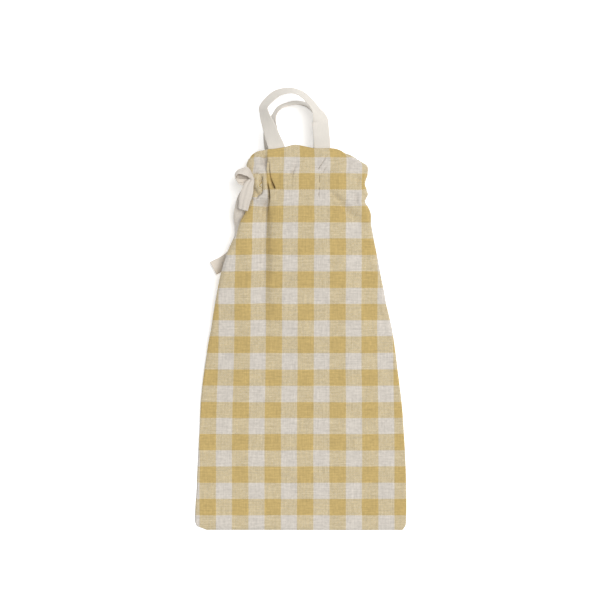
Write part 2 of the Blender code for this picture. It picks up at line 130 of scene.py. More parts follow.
# The drawstring's stations have two more columns: how wide the tape is, squeezed near the
# knot, and how deep its lengthwise pleats are.
KNOT_PLACE = (-60.4, -38.4, 50.6)
KNOT_RADII = (2.6, 3.6, 3.2)
STRING_LOOP = (
    (-60.4, -36.6, 52, 78, -40, 6, 0.3), (-62.8, -33.6, 53.8, 84, -42, 11, 0.25),
    (-66.7, -29.8, 55.4, 86, -41, 15, 0.2), (-72.4, -29, 55.4, 88, -60, 16.8, 0.1),
    (-77.2, -29.8, 54, 90, -72, 17.4, 0), (-80, -32.8, 51.6, 91, -72, 17.4, 0),
    (-79.8, -36.2, 49.4, 92, -60, 17.4, -0.3), (-76.6, -38.4, 47.6, 92, -38, 17, -0.9),
    (-72, -38.8, 46.6, 92, -24, 16, -1.3), (-67.4, -39.2, 47.2, 88, -24, 12, -1.2),
    (-62.8, -39, 49.2, 84, -34, 7, -0.6), (-60.4, -38.4, 50.6, 80, -40, 5, 0.3),
)
STRING_SHORT_TAIL = (
    (-60.2, -39, 51.8, 166, -4, 6, 0.4), (-62.4, -42.6, 52.3, 168, -4, 9.6, 0.35),
    (-64.9, -47.4, 52, 170, -4, 12.6, 0.3), (-66.9, -55, 50.8, 170, -6, 15.2, 0.3),
    (-69.2, -62.6, 49, 170, -8, 14.8, 0.3), (-70.6, -69.6, 46.8, 166, -10, 13.8, 0.35),
    (-71.9, -76.6, 44, 162, -12, 12.6, 0.4),
)
STRING_LONG_TAIL = (
    (-61, -41, 48, 172, -30, 5, 0.4), (-65.4, -49, 45, 172, -22, 9.6, 0.35),
    (-70, -58, 41, 174, -20, 13.6, 0.3), (-73, -67, 36.5, 176, -18, 16, 0.3),
    (-75.8, -80, 31, 178, -14, 16, 0.3), (-78, -91.6, 26, 180, -40, 17, 0.2),
    (-80.4, -103, 20.5, 175, -70, 17.6, 0.1), (-82.6, -113, 16.5, 165, -84, 17.6, 0.1),
    (-84.8, -120.6, 14, 156, -80, 17.6, 0.1), (-87, -130.6, 11.5, 142, -50, 17.6, 0.1),
    (-91.8, -138.8, 9.8, 128, -14, 17.6, 0.05), (-97.4, -143.2, 8.8, 122, 4, 17.6, 0.05),
    (-103.8, -146.2, 8.6, 121, 8, 17.6, 0), (-110.4, -149.7, 9.2, 121, 8, 17.6, 0),
)

# ---- Sizes of the visible cloth, in millimetres ----

# How far inside the part's outline the visible cloth's middle lies. Columns: run, left, right.
TRIM = (
    (0, 0.75, 0.6), (8, 2, 0.6), (15, 1.2, 0.5), (24, 0.5, 1), (33, 0.5, 0.8), (38, 0.5, 1.5),
    (41.5, 0.5, 0.9), (44.5, 0.5, -0.5), (47, 0.5, -1.8), (49.5, 0.5, -3.1), (52, 0.5, -1.8),
    (54.5, 0.5, -0.3), (58, 0.4, 0.3), (61.5, -0.4, -0.2), (64, -1.1, -1.1), (66.5, -1.6, -1.9),
    (69, -2, -2.4), (73, -2.2, -1.8), (79, -2, -1.5), (84, -1.3, -1.7), (93, -0.2, -0.9),
    (103, -0.3, -0.6), (114, -1.6, -0.4), (124, -0.8, -0.4), (135, 0.3, -0.4), (200, 0.75, -0.5),
    (300, 0.9, 0), (322, 1.4, 0.2), (343, 2.1, 0.4), (365, 2.5, 0.6), (434, 2.4, 0.7),
    (452, 1.7, 0.9), (PANEL_RUN, 1.6, 1),
)
# The same for the mouth edge. Columns: x, distance.
MOUTH_TRIM = (
    (-59, 0.2), (-49, -2), (-41, -0.2), (-32, 0.8), (60, 0.8),
)
BACK_MARGIN = 0.7              # the back's edges stand out beyond the front's by this

# How far the threads are drawn in, to the right. STRIPE_EDGES: their places on the flat
# cloth, from a stripe's edge to the next. Columns: run, then the distance for each place.
STRIPE_EDGES = (-66.1, -45.5, -24.9, -4.3, 16.3, 36.9)
DRAWN = (
    (0, 2.4, 2.1, 2.5, 2.2, 0, -0.5), (18, 5.2, 1.9, 2.9, 2.6, 0.8, 0.6),
    (34, 1.8, 1, 1.9, 1.2, 0.9, 0.2), (47, 0.4, 1, 1.9, 1, 0.8, 0), (57, 0.8, 1.9, 2.7, 1, 0.7, 0),
    (70, 3.3, 0.9, 1.7, 0.7, 0.1, 0), (87, 2.9, 0.4, 1.4, 0.4, 0.5, 0),
    (105, 2.1, -0.2, 0.5, 0.1, 0, -0.3), (122, 2.2, -0.4, 0.7, -0.2, 0.3, 0),
    (155, 1.2, -0.2, 0.5, -0.4, 0, 0), (187, 0.4, -0.6, -0.1, -0.3, 0, 0),
    (235, 0, -0.3, 0, -0.3, 0, 0), (300, 0, 0, 0, 0, 0, 0),
)
# How far the check lies towards the mouth of its even place. Columns: run, distance.
CHECK_SLIP = (
    (0, -0.2), (30, 0), (50, 0.3), (66, 1), (84, 1.1), (100, 1.3), (120, 1.7), (138, 1.6),
    (172, 1.3), (197, 1.25), (218, 1.1), (238, 1), (260, 0.4), (281, -0.3), (301, -0.3),
    (322, -0.8), (343, -0.2), (380, -0.1), (PANEL_RUN, 0),
)

# In the hollow beside the knot the cloth is drawn down by this much, up to the curved
# crease. Columns: y, x of the crease, distance.
HOLLOW = (
    (138, -62, 0), (140.5, -58, 10), (142.5, -54, 10.5), (144.2, -51.8, 10.5), (147.8, -48.5, 10.5),
    (154.8, -47.9, 9.5), (159.8, -48.1, 5), (165, -47.4, 0),
)
HOLLOW_ACROSS, HOLLOW_ALONG = 0.8, 0.85    # shares of it that the check moves by
HOLLOW_EDGE = -50.0            # of the cloth right of here, on the flat panel, only
HOLLOW_SQUEEZE = 0.35          # this share shows in it

CLOTH = 0.7                    # one layer
HANDLE_THICK = 1.0
STRING_THICK = 0.6
HEADING_CLOTH = 1.3            # the heading and channel are folded double
UPPER_STITCH = 30.0            # run of the two seams that make the channel
LOWER_STITCH = 51.5

# The creased parts of the front panel, across the flat cloth: the knot's and the handle's.
CREASED = (-70.0, -30.0)
THIN_CREASED = (20.0, 34.0)

# Steps of points across: between the marks, round each shoulder and down each side wall.
TOP_STEPS = (4, 78, 28, 23, 21)
BEND_STEPS, WALL_STEPS = 8, 16
BACK_COLUMNS = 150             # points across the back
# Between these runs the marks move to these shares of the width.
EVEN_FROM, EVEN_TO = 90.0, 300.0
EVEN_SHARES = (0.12, 0.5, 0.66, 0.8)
# Rows of points along the run: until this run, that far apart.
ROW_SPACING = ((66.0, 0.65), (110.0, 1.2), (240.0, 2.6), (PANEL_RUN, 4.6))

# A fold's stations: x, y, depth, width to its left, width to its right. Most folds run away
# from the mouth. Where one runs across, to the right, its right side is the mouth's side.
# A crease's side is steeper than a trough's, and is down before it reaches the fold's line.
# A negative depth is a ridge.
Fold = namedtuple("Fold", "stations left right")
CREASE, TROUGH = "crease", "trough"
FRONT_FOLDS = (
    # the deep crease beside the knot
    Fold((
        (-42.6, 201, 0.3, 3, 3), (-43.8, 194, 1.2, 3.2, 4), (-44.8, 189, 4.8, 3.8, 5),
        (-44.8, 184.8, 5.4, 3.4, 4.6), (-44.4, 181, 3.8, 2.4, 3.2), (-43.6, 176, 2.8, 1.8, 2),
        (-42.4, 170, 1.4, 1.8, 1.6), (-41.8, 166, 0.3, 1.6, 1.5), (-41.4, 162.5, 0.4, 1.8, 1.5),
        (-40.4, 156.1, 4.6, 2.2, 1.7), (-39.7, 151.2, 6.6, 2.4, 1.8), (-39.5, 142.9, 7.6, 2.4, 2.2),
        (-41.8, 136.5, 6, 3.2, 4.4), (-44.2, 131.5, 4.6, 4.2, 5.8), (-45.4, 127, 3.2, 4.6, 6.4),
        (-46, 120, 1.6, 4.6, 6.4), (-45.8, 112, 0, 4, 5.6),
    ), CREASE, CREASE),
    # the slope above it, beside the puffed corner of the heading
    Fold((
        (-47, 203, 0, 4, 7.5), (-47.6, 195, 2.6, 4, 8.5), (-47.8, 188.5, 4.6, 4, 9),
        (-47.6, 184, 4.4, 4, 8.5), (-46.8, 179, 1.6, 4, 7), (-46, 174, 0, 4, 6),
    ), TROUGH, TROUGH),
    # the long slope below it
    Fold((
        (-45, 141, 0, 8, 6), (-47, 135, 4.4, 10, 8), (-48.6, 129.7, 7, 14, 10.5),
        (-48.6, 121, 7.4, 17, 12), (-48.6, 107.2, 6.8, 20, 13), (-48.4, 88.5, 6.4, 22, 13),
        (-48.2, 61, 5.4, 22, 14), (-48.2, 26, 4, 22, 13), (-48, -24, 1.7, 22, 13.5),
        (-48, -60, 0, 22, 14),
    ), TROUGH, TROUGH),
    # and the wider hollow that it lies in
    Fold((
        (-43.5, 146, 0, 5, 10), (-44, 138, 2.6, 6, 13), (-44, 121, 3.8, 8, 15),
        (-43.6, 88, 3.6, 10, 15), (-43, 55, 3, 12, 14), (-43, 20, 1.8, 12, 14),
        (-43, -40, 0, 12, 14),
    ), TROUGH, TROUGH),
    # the crease to its right, deepest where it ends on the channel's lower seam
    Fold((
        (-39.9, 187, 0, 1.4, 1.5), (-39.5, 184, 1.6, 1.4, 1.5), (-38.8, 176, 3.2, 1.6, 1.5),
        (-38.2, 171.5, 2.8, 1.6, 1.5), (-37.4, 166.5, 2.8, 1.8, 1.6), (-36, 162.2, 5, 2.6, 1.8),
        (-34.5, 158.6, 6.8, 3.2, 2), (-33.3, 155.6, 7.6, 3.4, 2.2), (-32.6, 153.2, 5.6, 2.8, 2),
        (-32.3, 151.2, 0, 2.2, 2),
    ), CREASE, CREASE),
    # the curved crease that frames the knot's hollow
    Fold((
        (-48.8, 171, 0.3, 4, 1.4), (-48.2, 167, 3, 4.5, 1.5), (-47.4, 165, 4, 4.5, 1.5),
        (-48.8, 162.6, 4.5, 4.5, 1.6), (-48.1, 159.8, 4, 4.5, 1.6), (-47.9, 154.8, 3.8, 5.5, 1.6),
        (-48.5, 147.8, 3.8, 6, 1.8), (-52.2, 144.1, 3.8, 6, 1.8), (-55.6, 141.2, 3.4, 5, 1.8),
        (-59.3, 139.9, 2.5, 4, 1.8), (-62.5, 139.5, 1, 4, 1.8),
    ), TROUGH, CREASE),
    # the puffed flap between the two
    Fold((
        (-45, 178, 0, 2.4, 2), (-44.8, 166, -1.2, 2.6, 2.4), (-43.8, 152, -1.4, 3.4, 3),
        (-46, 141, -1.2, 5, 4.5), (-50, 133, -0.8, 6, 6), (-53, 124, 0, 6, 6),
    ), TROUGH, TROUGH),
    # the small pillow beside the knot, the puckers round it and the hollow below it
    Fold((
        (-54.5, 169, 0, 3.5, 3.5), (-53.6, 163, -1.6, 4.5, 3.5), (-53, 156, -1.8, 5, 4),
        (-54, 150, 0, 4.5, 4),
    ), TROUGH, TROUGH),
    Fold((
        (-59.8, 170.2, 0, 1.3, 1.3), (-57, 171.9, 1.4, 1.5, 1.5), (-53, 171.6, 1.6, 1.5, 1.5),
        (-49.5, 169.6, 0, 1.4, 1.4),
    ), CREASE, CREASE),
    Fold((
        (-61, 165, 1.2, 1.3, 1.3), (-58.5, 163.6, 1.5, 1.3, 1.3), (-56.4, 164.4, 1.4, 1.3, 1.3),
        (-55.6, 166.4, 0, 1.2, 1.2),
    ), CREASE, CREASE),
    Fold((
        (-58.5, 156, 0, 2.5, 3.5), (-57, 150.5, 3.2, 4.5, 6.5), (-56, 145.5, 4, 5, 6.5),
        (-56, 141, 0.8, 3.5, 4),
    ), TROUGH, TROUGH),
    # the heading's lobe above the knot
    Fold((
        (-50, 200, 0, 5, 5), (-51.5, 191, -1.2, 6.5, 5), (-52, 180, -1.2, 6.5, 5),
        (-52.5, 171, 0, 6, 5),
    ), TROUGH, TROUGH),
    # the thin crease across the channel, right of the middle
    Fold((
        (23.8, 171, 0, 1, 1), (23.7, 169, 1, 1, 1), (23.6, 165, 2.2, 1, 1),
        (23.6, 161.5, 1.8, 1, 0.9), (23.6, 159.5, 0.4, 1, 0.9), (23.6, 155, 0.4, 1, 0.9),
        (23.4, 153, 1.9, 1, 1), (23.3, 151.2, 1.7, 1, 1), (23.1, 149.6, 0.4, 1, 0.9),
        (22.9, 147.5, 2.2, 1, 1), (22.8, 144.5, 2.4, 1.1, 1), (22.8, 141.5, 0.5, 1.3, 1.2),
        (22.8, 137, 0, 1.4, 1.4),
    ), CREASE, CREASE),
    # slanting creases of the heading over the handle's ends
    Fold((
        (32, 194, 0, 1.4, 1.6), (30.4, 190.5, 1.5, 1.4, 1.6), (26.4, 184, 1.8, 1.3, 1.6),
        (22.4, 177.4, 1.5, 1.3, 1.4), (21.2, 174.5, 0, 1.3, 1.4),
    ), CREASE, CREASE),
    Fold((
        (33.4, 182, 0, 1.6, 1.4), (31, 178.4, 1.6, 1.6, 1.4), (28.6, 174.6, 1.6, 1.6, 1.4),
        (27.4, 171.5, 0, 1.6, 1.4),
    ), CREASE, CREASE),
    Fold((
        (-4.6, 190, 0, 3, 3), (-6.4, 183, 1.6, 3, 3), (-9, 175.5, 4, 2.4, 2.6),
        (-10, 171.8, 5.6, 2.2, 2.4), (-10.6, 169.6, 2, 2.2, 2.2), (-11.2, 161, 0.8, 2.2, 2.2),
        (-11.2, 152, 0, 2.2, 2.2),
    ), CREASE, CREASE),
    # the soft trough that slants down to the right shoulder
    Fold((
        (36, 152, 0, 5, 5), (39, 146, 3.2, 7, 7), (46, 138, 4.8, 9, 9.5), (56, 127, 6.2, 11, 11.5),
        (67, 116, 4.8, 12, 12), (78, 107, 0, 11, 11),
    ), TROUGH, TROUGH),
    # folds that run in from the right edge beside the channel
    Fold((
        (66, 150, 0, 4, 4), (68.5, 144, 2.8, 4, 3.5), (69.6, 134, 2.8, 4, 3.5),
        (70.5, 125, 0, 4, 4),
    ), TROUGH, CREASE),
    Fold((
        (73, 170, 0, 2.6, 2.6), (72.6, 161.5, 2.2, 2.6, 2.6), (70, 154, 0, 2.6, 2.6),
    ), CREASE, CREASE),
    Fold((
        (58, 190, 0, 7, 6), (60, 181, 2, 8, 6), (55, 170, 1.2, 8, 6), (50, 160, 0, 7, 6),
    ), TROUGH, TROUGH),
)

# Relief of the front panel besides its folds, in millimetres.
CHANNEL_PUFF = 0.5             # between the channel's seams
SEAM_DIP, SEAM_SPREAD = 0.35, 1.3
PUCKER = 0.9                   # puckers, most about this run
PUCKER_RUN, PUCKER_REACH = 44.0, 34.0
SWELL = 1.0                    # wide unevenness. It and the pleats grow with the height,
TALL_FROM, TALL_TO = 5.0, 30.0     # between these
CRUMPLE = 0.22                 # small unevenness all over
PLEAT, PLEAT_PITCH = 2.3, 11.0     # pleats of the side walls
PLEAT_FROM, PLEAT_TO = 60.0, 190.0     # the runs between which they fade
PLEAT_RUN, PLEAT_REACH = 41.0, 16.0    # they are deepest about this run

# ---- The check, in metres on the flat cloth ----

COLUMN_CENTRE, COLUMN_PERIOD = 0.0060, 0.0412
ROW_CENTRE, ROW_PERIOD = 0.04225, 0.0414
STRIPE_SOFT = (0.246, 0.258)   # shares of the period between which the yellow ends
LINEN_PITCH = 0.00082          # from yarn to yarn
RIBBON_PITCH = 0.0006

# ---- Colours, as linear light ----

YELLOW_YARN = (0.518, 0.377, 0.145)
WHITE_YARN = (0.604, 0.558, 0.500)
WARM_WHITE_YARN = (0.604, 0.556, 0.450)    # where yellow yarn crosses it and tints it
TAPE_COLOUR = (0.800, 0.755, 0.685)
TAPE_SHADE = (0.785, 0.738, 0.668)
RIBBON_COLOUR = (0.690, 0.632, 0.560)
RIBBON_SHADE = (0.670, 0.610, 0.540)
THREAD_COLOUR = (0.740, 0.670, 0.540)


# ---- Numbers ----

def ramp(value, start, end):
    """0 before start, 1 after end, and smooth between them."""
    share = np.clip((value - start) / (end - start), 0.0, 1.0)
    return share * share * (3.0 - 2.0 * share)


def near(value, centre, reach):
    """1 at the centre, and fading to 0 on both sides of it."""
    return np.exp(-((value - centre) / reach) ** 2)


def read(rows, column, at):
    """A table's column at places in its first column, on a smooth curve through the rows."""
    keys = np.array([row[0] for row in rows], float)
    values = np.array([row[column] for row in rows], float)
    slopes = np.empty_like(values)
    slopes[1:-1] = (values[2:] - values[:-2]) / (keys[2:] - keys[:-2])
    slopes[0] = (values[1] - values[0]) / (keys[1] - keys[0])
    slopes[-1] = (values[-1] - values[-2]) / (keys[-1] - keys[-2])
    at = np.clip(at, keys[0], keys[-1])
    step = np.clip(np.searchsorted(keys, at) - 1, 0, len(keys) - 2)
    span = keys[step + 1] - keys[step]
    share = (at - keys[step]) / span
    square = share * share
    cube = square * share
    return (
        (2 * cube - 3 * square + 1) * values[step]
        + (cube - 2 * square + share) * span * slopes[step]
        + (3 * square - 2 * cube) * values[step + 1]
        + (cube - square) * span * slopes[step + 1]
    )


def lengthwise():
    """Run and Y of each section: the cloth's length is kept while it slopes down."""
    rows = [(0.0, MOUTH_Y)]
    for low, high in zip(SECTIONS, SECTIONS[1:]):
        run = high[0] - low[0]
        rise = (high[3] + high[4]) - (low[3] + low[4])
        rows.append((high[0], rows[-1][1] - math.sqrt(run * run - rise * rise)))
    return rows


ALONG = lengthwise()


def path_length(points, axis):
    """How far along each line of points every point after its first lies."""
    return np.cumsum(np.linalg.norm(np.diff(points, axis=axis), axis=-1), axis=axis)


def unit(vectors):
    size = np.linalg.norm(vectors, axis=-1, keepdims=True)
    return vectors / np.maximum(size, 1e-9)


def vectors(x, y, z):
    return np.stack(np.broadcast_arrays(x, y, z), axis=-1).astype(float)


def quadratic(start, control, end, share):
    first = start + (control - start) * share
    second = control + (end - control) * share
    return first + (second - first) * share


def soft_noise(u, v, wide, long, seed):
    """Smooth noise over cloth places, with features that many millimetres wide and long."""
    flat = [
        noise.noise((a / wide, b / long, seed))
        for a, b in zip(np.ravel(u), np.ravel(v))
    ]
    return np.array(flat).reshape(np.shape(u))


# ---- The front panel ----

class Sections:
    """The measures of the bag across it, for a column of runs."""

    def __init__(self, run):
        self.run = run
        self.y = read(ALONG, 1, run)
        self.left = self.edge(-1, run)
        self.right = self.edge(1, run)
        self.height = read(SECTIONS, 3, run)
        self.crown = read(SECTIONS, 4, run)
        tall = self.height - FOOT_Z
        self.radius = np.clip(tall * SHOULDER_SHARE, SHOULDER_LEAST, SHOULDER_RADIUS)
        self.ear = np.maximum(0.0, 1.0 - run / EAR_RUN)

    @staticmethod
    def edge(sign, run):
        """X of the left or right outline."""
        column = 1 if sign < 0 else 2
        return read(SECTIONS, column, run) - sign * read(TRIM, column, run)

    def place(self, across):
        """X of the cloth that lay at this place across the flat panel."""
        loose = 1.0 - ramp(self.run, SCALE_FROM, SCALE_TO)
        drawn = np.concatenate(
            [read(DRAWN, 1 + i, self.run) for i in range(len(STRIPE_EDGES))], axis=1)
        step = np.clip(np.searchsorted(STRIPE_EDGES, across) - 1, 0, len(STRIPE_EDGES) - 2)
        edges = np.array(STRIPE_EDGES)
        share = np.clip((across - edges[step]) / (edges[step + 1] - edges[step]), 0.0, 1.0)
        before = np.take_along_axis(drawn, step, axis=1)
        after = np.take_along_axis(drawn, step + 1, axis=1)
        x = FRONT_SHIFT * loose + (1.0 + (FRONT_SCALE - 1.0) * loose) * across
        return x + before + (after - before) * share

    def across(self, x):
        """The place across the flat panel of the cloth that lies at x, found by halving."""
        low = np.full_like(self.run, -PANEL_HALF * 1.2)
        high = -low
        for _ in range(40):
            middle = (low + high) / 2
            under = self.place(middle) < x
            low = np.where(under, middle, low)
            high = np.where(under, high, middle)
        return (low + high) / 2

    def wave(self, x):
        """How far the mouth edge's waver moves this point."""
        fade = np.maximum(0.0, 1.0 - self.run / WAVE_REACH) ** 2
        return (read(MOUTH_WAVE, 1, x) - read(MOUTH_TRIM, 1, x)) * fade

    def top(self, across):
        """Points of the front panel between the shoulders."""
        x = self.place(across)
        middle = (self.left + self.right) / 2
        half = (self.right - self.left) / 2 - self.radius
        share = np.minimum(1.0, np.abs(x - middle) / half)
        z = self.height + self.crown * (1.0 - share ** 4) ** 2
        return vectors(x, self.y + self.wave(x), z)

    def foot(self, sign):
        """Where the front panel ends at the side seam."""
        level = np.maximum(self.run, EAR_RUN)
        y = read(ALONG, 1, level) + EAR_FOOT_SHARE * (level - self.run)
        lean = WALL_LEAN * np.maximum(0.0, self.height - SECTIONS[-1][3])
        low = self.edge(sign, level) - sign * lean
        gathered = read(SEAM, 1 if sign < 0 else 2, level) - sign * CAD_THICK / 2
        x = np.where(level > SEAM[-1][0], low, gathered)
        return vectors(x, y, FOOT_Z - CAD_THICK + CLOTH)

    def back_edges(self):
        """X of the back panel's left and right edge."""
        return self.foot(-1)[..., 0] - BACK_MARGIN, self.foot(1)[..., 0] + BACK_MARGIN

    def side(self, sign):
        """Points from the shoulder down to the side seam, and how far down each one is."""
        x = self.left if sign < 0 else self.right
        corner = vectors(x, self.y, self.height)
        ear = self.ear[..., None]
        fall = unit(np.array((0.0, 0.0, -1.0)) * (1.0 - ear) + np.array(EAR_FALL[sign]) * ear)
        radius = self.radius[..., None]
        start = corner - np.array((sign, 0.0, 0.0)) * radius
        wall = corner + fall * radius
        drop = WALL_BEND * (self.height[..., None] - FOOT_Z)
        pull = corner + fall * np.maximum(radius, drop / -fall[..., 2:])
        bend_share = (np.arange(BEND_STEPS) + 1.0)[None, :, None] / BEND_STEPS
        wall_share = (np.arange(WALL_STEPS) + 1.0)[None, :, None] / WALL_STEPS
        bend = quadratic(start, corner, wall, bend_share)
        down = quadratic(wall, pull, self.foot(sign), wall_share)
        depth = np.concatenate((np.zeros(BEND_STEPS), wall_share[0, :, 0]))
        points = np.concatenate((bend, down), axis=1)
        points[..., 1] += self.wave(points[..., 0]) * (1.0 - depth)
        return points, depth


def row_runs():
    """The runs of the rows of points, close together near the mouth."""
    runs, at = [], 0.0
    for until, spacing in ROW_SPACING:
        count = round((until - at) / spacing)
        runs += [at + (until - at) * i / count for i in range(count)]
        at = until
    return np.array(runs + [PANEL_RUN])


def steps_between(marks, counts):
    """Places from the first mark to the last, with so many steps between each two."""
    places = [marks[0]]
    for start, end, count in zip(marks, marks[1:], counts):
        share = (np.arange(count) + 1.0) / count
        places.append(start + (end - start) * share)
    return np.concatenate(places, axis=1)


def grid_normals(points):
    """Unit normals of a grid of points, up where it is level."""
    down = np.gradient(points, axis=0)
    right = np.gradient(points, axis=1)
    return unit(np.cross(down, right))


FOLD_STEPS = 6                 # from a fold's station to its next
CREASE_SLOPE = 0.75            # a crease's side falls over this share of its width


def fold_depth(fold, x, y):
    """How deep one fold presses each point, by its distance from the fold's line."""
    stations = [(float(i), *row) for i, row in enumerate(fold.stations)]
    at = np.linspace(0, len(stations) - 1, FOLD_STEPS * (len(stations) - 1) + 1)
    line = np.stack([read(stations, column, at) for column in range(1, 6)], axis=1)
    best = np.full(x.shape, 1e9)
    depth = np.zeros(x.shape)
    for a, b in zip(line, line[1:]):
        step = b[:2] - a[:2]
        reach = np.stack((x - a[0], y - a[1]), axis=-1)
        share = np.clip((reach @ step) / (step @ step), 0.0, 1.0)
        off = reach - share[..., None] * step
        distance = np.hypot(off[..., 0], off[..., 1])
        right = step[0] * off[..., 1] - step[1] * off[..., 0] > 0
        here = a + (b - a) * share[..., None]
        width = np.where(right, here[..., 4], here[..., 3])
        part = np.clip(1.0 - distance / width, 0.0, 1.0)
        soft = np.where(right, fold.right == TROUGH, fold.left == TROUGH)
        shape = np.where(soft, ramp(part, 0.0, 1.0), ramp(part, 0.0, CREASE_SLOPE))
        nearer = distance < best
        best = np.where(nearer, distance, best)
        depth = np.where(nearer, here[..., 2] * shape, depth)
    return depth


def front_grid():
    """Points of the front panel, their places and runs on the flat cloth, and their depths.

    A point's depth is 0 on top and round the shoulder, and 1 at the side seam."""
    run = row_runs()[:, None]
    sections = Sections(run)
    low = sections.across(sections.left + sections.radius)
    high = sections.across(sections.right - sections.radius)
    relax = ramp(run, EVEN_FROM, EVEN_TO)
    marks = [
        mark * (1 - relax) + (low + (high - low) * share) * relax
        for mark, share in zip(CREASED + THIN_CREASED, EVEN_SHARES)
    ]
    marks[0] = np.maximum(marks[0], low + 2.0)
    places = steps_between((low, *marks, high), TOP_STEPS)
    top = sections.top(places)
    left, down = sections.side(-1)
    right = sections.side(1)[0]
    base = np.concatenate((left[:, ::-1], top, right), axis=1)
    depth = np.concatenate((down[::-1], np.zeros(places.shape[1]), down))
    places = np.concatenate((
        side_places(low, left, top[:, :1], -1)[:, ::-1],
        places,
        side_places(high, right, top[:, -1:], 1),
    ), axis=1)
    runs = np.broadcast_to(run, places.shape)
    return base, places, runs, depth


def side_places(start, side, first, sign):
    """Places across the flat cloth of a side's points: what is left of the panel, spread evenly."""
    path = np.concatenate((first, side), axis=1)
    length = path_length(path, 1)
    return start + (sign * PANEL_HALF - start) * length / length[:, -1:]


def front_relief(base, places, runs, depth):
    """How far each point of the front panel stands out of its smooth surface."""
    relief = np.zeros(places.shape)
    on_top = 1.0 - ramp(depth, 0.0, 0.35)
    for fold in FRONT_FOLDS:
        relief -= fold_depth(fold, base[..., 0], base[..., 1])
    relief *= on_top
    tall = ramp(base[:, :, 2].max(axis=1, keepdims=True), TALL_FROM, TALL_TO)
    puff = (
        ramp(runs, UPPER_STITCH, UPPER_STITCH + 5)
        * (1 - ramp(runs, LOWER_STITCH - 5, LOWER_STITCH))
    )
    seams = near(runs, UPPER_STITCH, SEAM_SPREAD) + near(runs, LOWER_STITCH, SEAM_SPREAD)
    relief += (CHANNEL_PUFF * puff - SEAM_DIP * seams) * on_top
    puckers = soft_noise(places, runs, 7.0, 45.0, 3.0)
    relief += PUCKER * near(runs, PUCKER_RUN, PUCKER_REACH) * puckers * on_top
    relief += tall * SWELL * soft_noise(places, runs, 42.0, 60.0, 7.0) * on_top
    relief += CRUMPLE * soft_noise(places, runs, 13.0, 17.0, 11.0)
    # pleats of the side walls, gathered by the drawstring
    wall = np.sin(math.pi * np.clip(depth, 0.0, 1.0)) ** 0.7
    fade = 1.0 - ramp(runs, PLEAT_FROM, PLEAT_TO)
    tight = fade * (0.55 + 0.45 * near(runs, PLEAT_RUN, PLEAT_REACH))
    drift = 7.0 * soft_noise(places, runs, 40.0, 70.0, 19.0)
    pleats = np.sin(2 * math.pi * (places + drift) / PLEAT_PITCH)
    relief += wall * tight * tall * PLEAT * pleats
    return relief


# ---- The back panel ----

def back_grid():
    """Points of the back panel, and their places and runs on the flat cloth."""
    run = row_runs()[:, None]
    sections = Sections(run)
    left, right = sections.back_edges()
    channel_left, channel_right = Sections(np.array([[CHANNEL_RUN]])).back_edges()
    spread = (right - left) / (channel_right - channel_left)
    middle = (left + right) / 2
    share = np.linspace(-1.0, 1.0, BACK_COLUMNS)[None, :]
    x = middle + share * (right - left) / 2
    lift = np.zeros(x.shape)
    for place, half, height, reach in RIDGES:
        fade = 1.0 - ramp(run, RIDGE_FROM, reach)
        centre = middle + (place - (channel_left + channel_right) / 2) * spread
        width = half * (1.0 + RIDGE_SPREAD * (1.0 - fade))
        part = np.clip(1.0 - np.abs(x - centre) / width, 0.0, 1.0)
        lift += height * fade * ramp(part, 0.0, 1.0)
    foot_y = sections.foot(-1)[..., 1]
    rise = np.maximum(0.0, 1.0 - run / EAR_RUN)
    y = foot_y + (BACK_MOUTH_Y - foot_y) * (1.0 - np.abs(share) ** 4) * rise
    runs = np.broadcast_to(run, x.shape)
    points = vectors(x, y, CLOTH / 2 + lift)
    length = np.concatenate((np.zeros((len(run), 1)), path_length(points, 1)), axis=1)
    places = PANEL_HALF * (2.0 * length / length[:, -1:] - 1.0)
    return points, places, runs


# ---- Meshes ----

RIM = 0.45                     # how far a sheet's rim stands out, as a share of its thickness


def sheet_object(name, points, normals, thick, cloth):
    """A closed thin sheet around a grid of points, with a rounded rim, and its UV map.

    thick is the sheet's thickness at each point, and cloth its place on the flat cloth."""
    rows, columns = points.shape[:2]
    thick = np.broadcast_to(np.asarray(thick, float), (rows, columns))[..., None]
    upper = points + normals * thick / 2
    lower = points - normals * thick / 2
    index = np.arange(rows * columns).reshape(rows, columns)
    ring = np.concatenate((index[0, :-1], index[:-1, -1], index[-1, :0:-1], index[:0:-1, 0]))
    middle = (upper + lower) / 2
    out = np.zeros_like(points)
    out[0] += unit(points[0] - points[1])
    out[-1] += unit(points[-1] - points[-2])
    out[:, 0] += unit(points[:, 0] - points[:, 1])
    out[:, -1] += unit(points[:, -1] - points[:, -2])
    edge = (middle + unit(out) * thick * RIM).reshape(-1, 3)[ring]
    corners = np.concatenate((upper.reshape(-1, 3), lower.reshape(-1, 3), edge))
    count = rows * columns
    a, b = index[:-1, :-1].ravel(), index[1:, :-1].ravel()
    c, d = index[1:, 1:].ravel(), index[:-1, 1:].ravel()
    top = np.stack((a, b, c, d), axis=1)
    under = np.stack((a, d, c, b), axis=1) + count
    following = np.roll(ring, -1)
    rim = 2 * count + np.arange(len(ring))
    next_rim = np.roll(rim, -1)
    outer = np.stack((ring, following, next_rim, rim), axis=1)
    inner = np.stack((rim, next_rim, following + count, ring + count), axis=1)
    faces = np.concatenate((top, under, outer, inner))
    flat = cloth.reshape(-1, 2)
    return mesh_object(name, corners, faces.tolist(), np.concatenate((flat, flat, flat[ring])))


def placed(name, data):
    """An object in the scene with this mesh, light or camera."""
    made = bpy.data.objects.new(name, data)
    bpy.context.scene.collection.objects.link(made)
    return made


